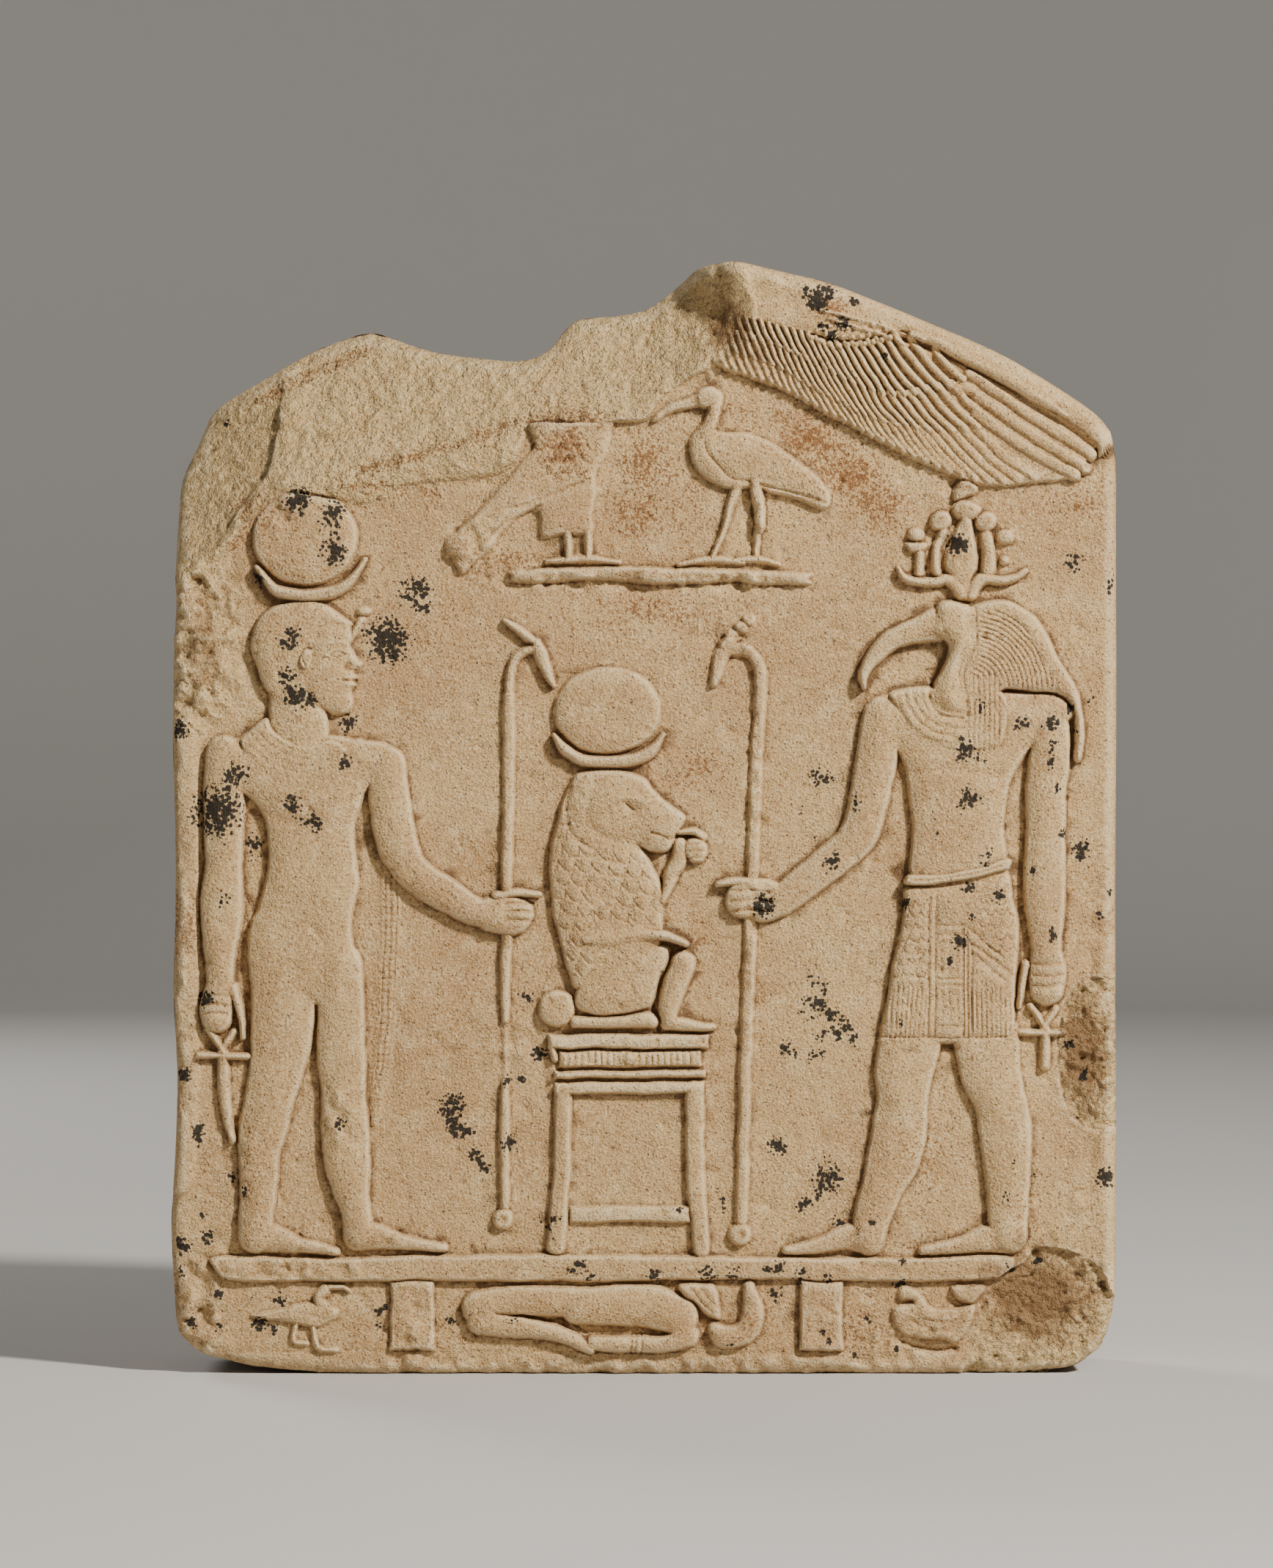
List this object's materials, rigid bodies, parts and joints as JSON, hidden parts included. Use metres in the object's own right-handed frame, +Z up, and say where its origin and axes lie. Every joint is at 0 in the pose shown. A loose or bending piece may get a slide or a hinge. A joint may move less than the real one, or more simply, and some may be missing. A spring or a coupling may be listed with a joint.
{
  "type": "carved stone stele",
  "caption": "Round-topped limestone stele, broken along its upper left, carved in raised relief with standing figures, a seated animal, birds and a spread wing. Stands on its flat underside.",
  "frame": {"origin": "middle of the underside, below the middle of the whole slab's box", "axes": "+Z up, the carved face towards -Y, +X to the right of a viewer who faces it"},
  "size_m": [0.2592, 0.06, 0.3049],
  "materials": {
    "limestone": "matt carved limestone, cream with ochre stains and black mineral spots"
  },
  "bodies": {
    "root": {"stele": "limestone"}
  },
  "joints": []
}
